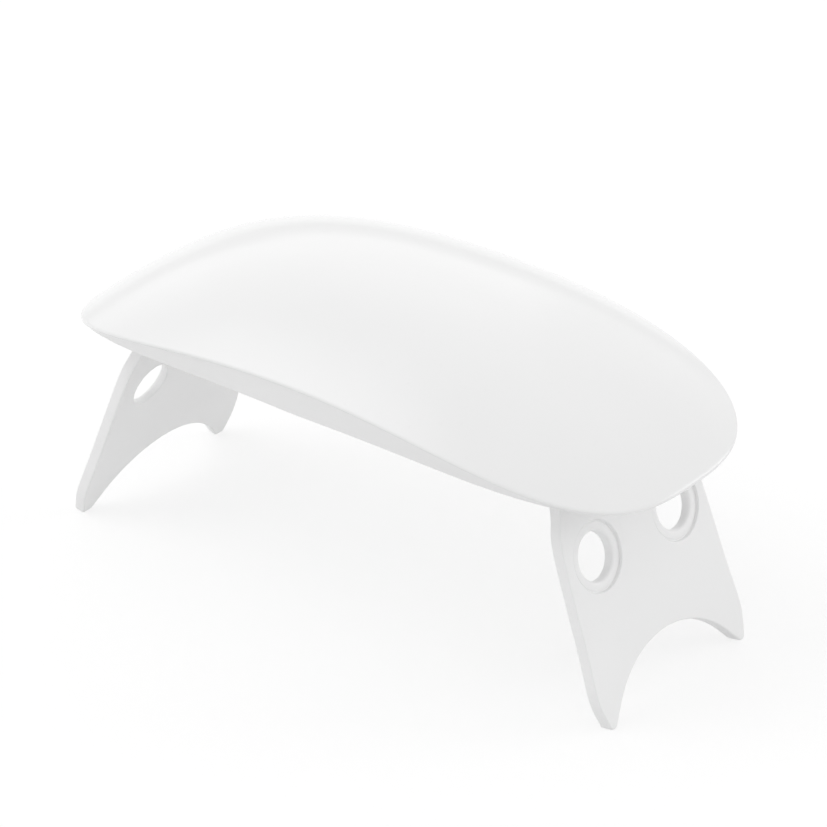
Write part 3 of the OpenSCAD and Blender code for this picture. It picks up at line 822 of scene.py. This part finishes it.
def lens(i):
    dome = np.linspace(math.asin(DOME_EDGE_R / DOME_R), 0, 14)[:-1]
    profile = LENS_RIM + [(DOME_R * math.sin(a), DOME_TIP + DOME_R - DOME_R * math.cos(a))
                          for a in dome]
    made = lathe(f"lens_{i + 1}_moulded", profile, 64, (0, 0, 0), (0, 0, DOME_TIP))
    moved(made, lamp_frame(*LAMPS[i]))
    return finish_piece(made, "housing", LENS, [f"lens_{i + 1}"], 40)


CAP_W, CAP_H = 7.6, 2.8
# Y and growth from the cap's back to its face. Beyond CAP_FACE the outline is scaled down,
# for a face that is slightly dished.
CAP_ROWS = [(29.4, -0.12), (29.44, -0.04), (29.55, 0), (33.2, 0), (33.38, -0.03), (33.5, -0.12),
            (33.57, -0.25), (33.6, -0.42), (33.58, -0.6), (33.53, -0.8), (33.49, -1.0),
            (33.475, -1.2)]
CAP_FACE = -0.9
TAB_HALF, TAB_Y = (4.7, 1), (29.4, 30.05)


def button():
    outline = oblong(CAP_W, CAP_H, CAP_H / 2, 96)
    rings = []
    for y, g in CAP_ROWS:
        p = grown(outline, g)
        if g < CAP_FACE:
            p = outline * [1 + g / (CAP_W / 2) * 1.05, 1 + g / (CAP_H / 2)]
        rings.append(np.column_stack([BUTTON[0] + p[:, 0], np.full(len(p), y),
                                      BUTTON[1] + p[:, 1]]))
    cap = loft("button_cap_moulded", rings)
    tabs = block("tabs", (BUTTON[0] - TAB_HALF[0], TAB_Y[0], BUTTON[1] - TAB_HALF[1]),
                 (BUTTON[0] + TAB_HALF[0], TAB_Y[1], BUTTON[1] + TAB_HALF[1]))
    combine(cap, tabs, "UNION")
    return finish_piece(cap, "button", CAP, ["button_cap"])


INLET_W, INLET_H, INLET_R = 3.75, 1.3, 0.42
INLET_TAPER, INLET_TAPER_Z = 0.75, -0.15
# Y from the shell's back, and growth: along the outside, round the lip, and back inside
INLET_ROWS = [(0.0, -0.1), (0.1, 0), (5.1, 0.0), (5.26, -0.06), (5.3, -0.14), (5.26, -0.24),
              (5.1, -0.3), (0.55, -0.3)]


def inlet():
    """Sheet-metal shell of the inlet: flat top, tapered lower corners, and a rolled lip."""
    corners = [(INLET_W, INLET_H), (-INLET_W, INLET_H), (-INLET_W, INLET_TAPER_Z),
               (-INLET_W + INLET_TAPER, -INLET_H), (INLET_W - INLET_TAPER, -INLET_H),
               (INLET_W, INLET_TAPER_Z)]
    outline = []
    for k, corner in enumerate(corners):
        outline += rounded_corner(corners[k - 1], corner, corners[(k + 1) % 6], INLET_R)
    outline = resample(np.array(outline), 96)
    rings = []
    for y, g in INLET_ROWS:
        p = grown(outline, g)
        rings.append(np.column_stack([USB[0] + p[:, 0], USB_BACK_Y + np.full(len(p), y),
                                      USB[1] + p[:, 1]]))
    made = loft("inlet_shell", rings)
    finish_piece(made, "housing", SOCKET, ["usb_socket_shell"])


crown()
housing()
leg("leg_right_moulded", False, "leg_right", ["leg_right"])
leg("leg_left_moulded", True, "leg_left", ["leg_left"])
for index in range(6):
    lens(index)
button()
inlet()

# Materials of the solids that show as they are
GROUPS = [
    (PIN, ["hinge_pin_left", "hinge_pin_right"]),
    (WASHER, ["hinge_washers_left", "hinge_washers_right"]),
    (LAMINATE, ["lamp_board_left", "lamp_board_centre", "lamp_board_right", "control_board"]),
    (PHOSPHOR, [f"emitter_{i}" for i in range(1, 7)]),
    (CHIP, ["controller_chip", "usb_socket_tongue", "tact_switch", "switch_plunger"]),
    (FERRITE, ["power_choke"]),
    (CAN, ["smoothing_capacitor"]),
    (WIRE, ["link_wires_left", "link_wires_right", "link_wires_centre"]),
    (SCREW_STEEL, ["case_screws", "board_screws"]),
]
for finish, names in GROUPS:
    for name in names:
        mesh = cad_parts[name].data
        mesh.materials.clear()
        mesh.materials.append(finish)

# Floor and room. What is seen of them, directly or mirrored, is whiter than what lights the
# lamp, so that the background is white while the white plastic keeps its shades.

WHITE = (1, 1, 1, 1)


def seen_rays(tree, path):
    """1 for rays from the camera, reflections and lenses, and 0 for the light on surfaces."""
    seen = path.outputs["Is Camera Ray"]
    for kind in ("Is Glossy Ray", "Is Transmission Ray"):
        seen = node(tree, "ShaderNodeMath", {0: seen, 1: path.outputs[kind]},
                    operation="MAXIMUM").outputs[0]
    return seen


def ramp(tree, value, start, end, low=0.0, high=1.0):
    """Runs smoothly from low to high while the value goes from start to end."""
    return node(tree, "ShaderNodeMapRange", {
        "Value": value, "From Min": start, "From Max": end, "To Min": low, "To Max": high},
        interpolation_type="SMOOTHSTEP").outputs[0]


def glow(tree, kind, strength):
    return node(tree, kind, {"Color": WHITE, "Strength": strength}).outputs[0]


def paint(tree, grey):
    return node(tree, "ShaderNodeBsdfDiffuse", {"Color": (grey, grey, grey, 1)}).outputs[0]


def either(tree, factor, a, b):
    return node(tree, "ShaderNodeMixShader", {0: factor, 1: a, 2: b}).outputs[0]


# The floor lies just under the toes, so that no face of theirs is also one of its own
FLOOR_Z, FLOOR_STEPS = -0.0002, 48
FLOOR_RADII = (8, 4, 2, 1, 0.5, 0.2)
# Rays shorter than this start on a face that rests on the floor, which shows from below. For them
# the floor glows, which is painted light on the undersides of the toes.
TOUCHING = 0.001


def floor_paper():
    """White paper, clear from below, that fades a little away from the lamp. Faces that rest on
    it get painted light from below, where it glows for them.
    """
    paper = bpy.data.materials.new("floor_paper")
    paper.use_nodes = True
    tree = paper.node_tree
    tree.nodes.clear()
    path = node(tree, "ShaderNodeLightPath")
    touching = node(tree, "ShaderNodeMath", {0: path.outputs["Ray Length"], 1: TOUCHING},
                    operation="LESS_THAN").outputs[0]
    # Painted light: the floor glows for the short rays from faces that rest on it, which lights
    # the toes from below
    unseen = either(tree, touching, paint(tree, 0.81), glow(tree, "ShaderNodeEmission", 0.62))
    centre = node(tree, "ShaderNodeTexCoord").outputs["Object"]
    away = node(tree, "ShaderNodeVectorMath", {0: centre}, operation="LENGTH").outputs["Value"]
    lit = glow(tree, "ShaderNodeEmission", ramp(tree, away, 0.55, 1.1, 0.64, 0.46))
    white = node(tree, "ShaderNodeAddShader", {0: paint(tree, 0.38), 1: lit}).outputs[0]
    surface = either(tree, seen_rays(tree, path), unseen, white)
    below = node(tree, "ShaderNodeBsdfTransparent").outputs[0]
    back = node(tree, "ShaderNodeNewGeometry").outputs["Backfacing"]
    out = node(tree, "ShaderNodeOutputMaterial")
    tree.links.new(either(tree, back, surface, below), out.inputs["Surface"])
    return paper


def floor():
    rings = [level(circle(r, FLOOR_STEPS), FLOOR_Z) for r in FLOOR_RADII]
    verts = [tuple(p) for ring in rings for p in ring] + [(0, 0, FLOOR_Z)]
    faces = bands(len(rings), FLOOR_STEPS)
    faces += fan((len(rings) - 1) * FLOOR_STEPS, FLOOR_STEPS, len(verts) - 1)
    mesh = bpy.data.meshes.new("floor")
    mesh.from_pydata(verts, [], faces)
    made = bpy.data.objects.new("floor", mesh)
    bpy.context.scene.collection.objects.link(made)
    if mesh.polygons[0].normal.z < 0:
        mesh.flip_normals()
    mesh.materials.append(floor_paper())


floor()


def room():
    """A pale room, a little brighter to the rear, whose walls mirror darker low down."""
    world = bpy.data.worlds.new("room")
    bpy.context.scene.world = world
    world.use_nodes = True
    tree = world.node_tree
    tree.nodes.clear()
    direction = node(tree, "ShaderNodeTexCoord").outputs["Generated"]
    towards = node(tree, "ShaderNodeSeparateXYZ", {0: direction}).outputs
    rear = node(tree, "ShaderNodeMapRange", {"Value": towards["Y"], "From Min": -1, "From Max": 1,
                                             "To Min": 0.78, "To Max": 0.85}).outputs[0]
    height = node(tree, "ShaderNodeMath", {0: towards["Z"]}, operation="ABSOLUTE").outputs[0]
    soft = glow(tree, "ShaderNodeBackground", rear)
    white = glow(tree, "ShaderNodeBackground", ramp(tree, height, 0.06, 0.19, 0.8, 1.0))
    seen = seen_rays(tree, node(tree, "ShaderNodeLightPath"))
    out = node(tree, "ShaderNodeOutputWorld")
    tree.links.new(either(tree, seen, soft, white), out.inputs["Surface"])


room()


def softbox(name, place, aim, size, power, roll=0.0, fade=(0.3, 0.3, 0.3, 0.3)):
    """Area light whose diffuser fades towards its edges.

    The shares of its size that fade are those at the low and high end of the light's own X,
    and at the low and high end of its own Y.
    """
    data = bpy.data.lights.new(name, "AREA")
    data.shape, data.size, data.size_y, data.energy = "RECTANGLE", size[0], size[1], power
    data.use_nodes = True
    tree = data.node_tree
    tree.nodes.clear()
    spot = node(tree, "ShaderNodeNewGeometry").outputs["Parametric"]
    along = node(tree, "ShaderNodeSeparateXYZ", {0: spot}).outputs
    strength = None
    for axis, low_share, high_share in (("X", fade[0], fade[1]), ("Y", fade[2], fade[3])):
        for edge, inside in ((0, low_share), (1, 1 - high_share)):
            part = ramp(tree, along[axis], edge, inside)
            strength = part if strength is None else node(
                tree, "ShaderNodeMath", {0: strength, 1: part}, operation="MULTIPLY").outputs[0]
    lit = glow(tree, "ShaderNodeEmission", strength)
    tree.links.new(lit, node(tree, "ShaderNodeOutputLight").inputs["Surface"])
    made = bpy.data.objects.new(name, data)
    bpy.context.scene.collection.objects.link(made)
    made.location = place
    made.rotation_mode = "QUATERNION"
    made.rotation_quaternion = ((Vector(aim) - Vector(place)).to_track_quat("-Z", "Y")
                                @ Quaternion((0, 0, 1), roll))


# The window lies to the far left and is mirrored along the crown's far edge, the top light
# to the near left gives the crown its slow fall to the right, and the fill is to the rear
softbox("window", (-1.35, 0.95, 1.1), (0, 0, 0.05), (2.3, 1.8), 3.6, math.radians(-9),
        (0.12, 0.4, 0.03, 0.8))
softbox("top", (-1.05, -0.7, 1.4), (0, 0, 0.05), (2.6, 2.6), 32.0, 0.0, (0.5, 0.5, 0.5, 0.5))
softbox("fill", (0.97, 1.17, 0.45), (0, 0, 0.03), (1.0, 0.8), 6.6)

# Camera: the photograph's angle and distance. Pixels are those of its own width.
CAMERA_AZ, CAMERA_EL = math.radians(38.5), math.radians(28.87)
TARGET, DISTANCE = Vector((0, 0, 0.035)), 1.0
FOCAL_PX, SHIFT_PX, PHOTO_PX, SENSOR = 5212.0, (10.7, 0.4), 827.0, 36.0
camera_data = bpy.data.cameras.new("camera")
camera_data.sensor_fit = "HORIZONTAL"
camera_data.sensor_width = SENSOR
camera_data.lens = SENSOR * FOCAL_PX / PHOTO_PX
camera_data.shift_x, camera_data.shift_y = SHIFT_PX[0] / PHOTO_PX, SHIFT_PX[1] / PHOTO_PX
camera_data.clip_start, camera_data.clip_end = 0.05, 50.0
camera = bpy.data.objects.new("camera", camera_data)
bpy.context.scene.collection.objects.link(camera)
back = Vector((math.sin(CAMERA_AZ) * math.cos(CAMERA_EL),
               -math.cos(CAMERA_AZ) * math.cos(CAMERA_EL), math.sin(CAMERA_EL)))
camera.location = TARGET + back * DISTANCE
camera.rotation_mode = "QUATERNION"
camera.rotation_quaternion = (-back).to_track_quat("-Z", "Y")
bpy.context.scene.camera = camera
bpy.context.scene.view_settings.view_transform = "Standard"
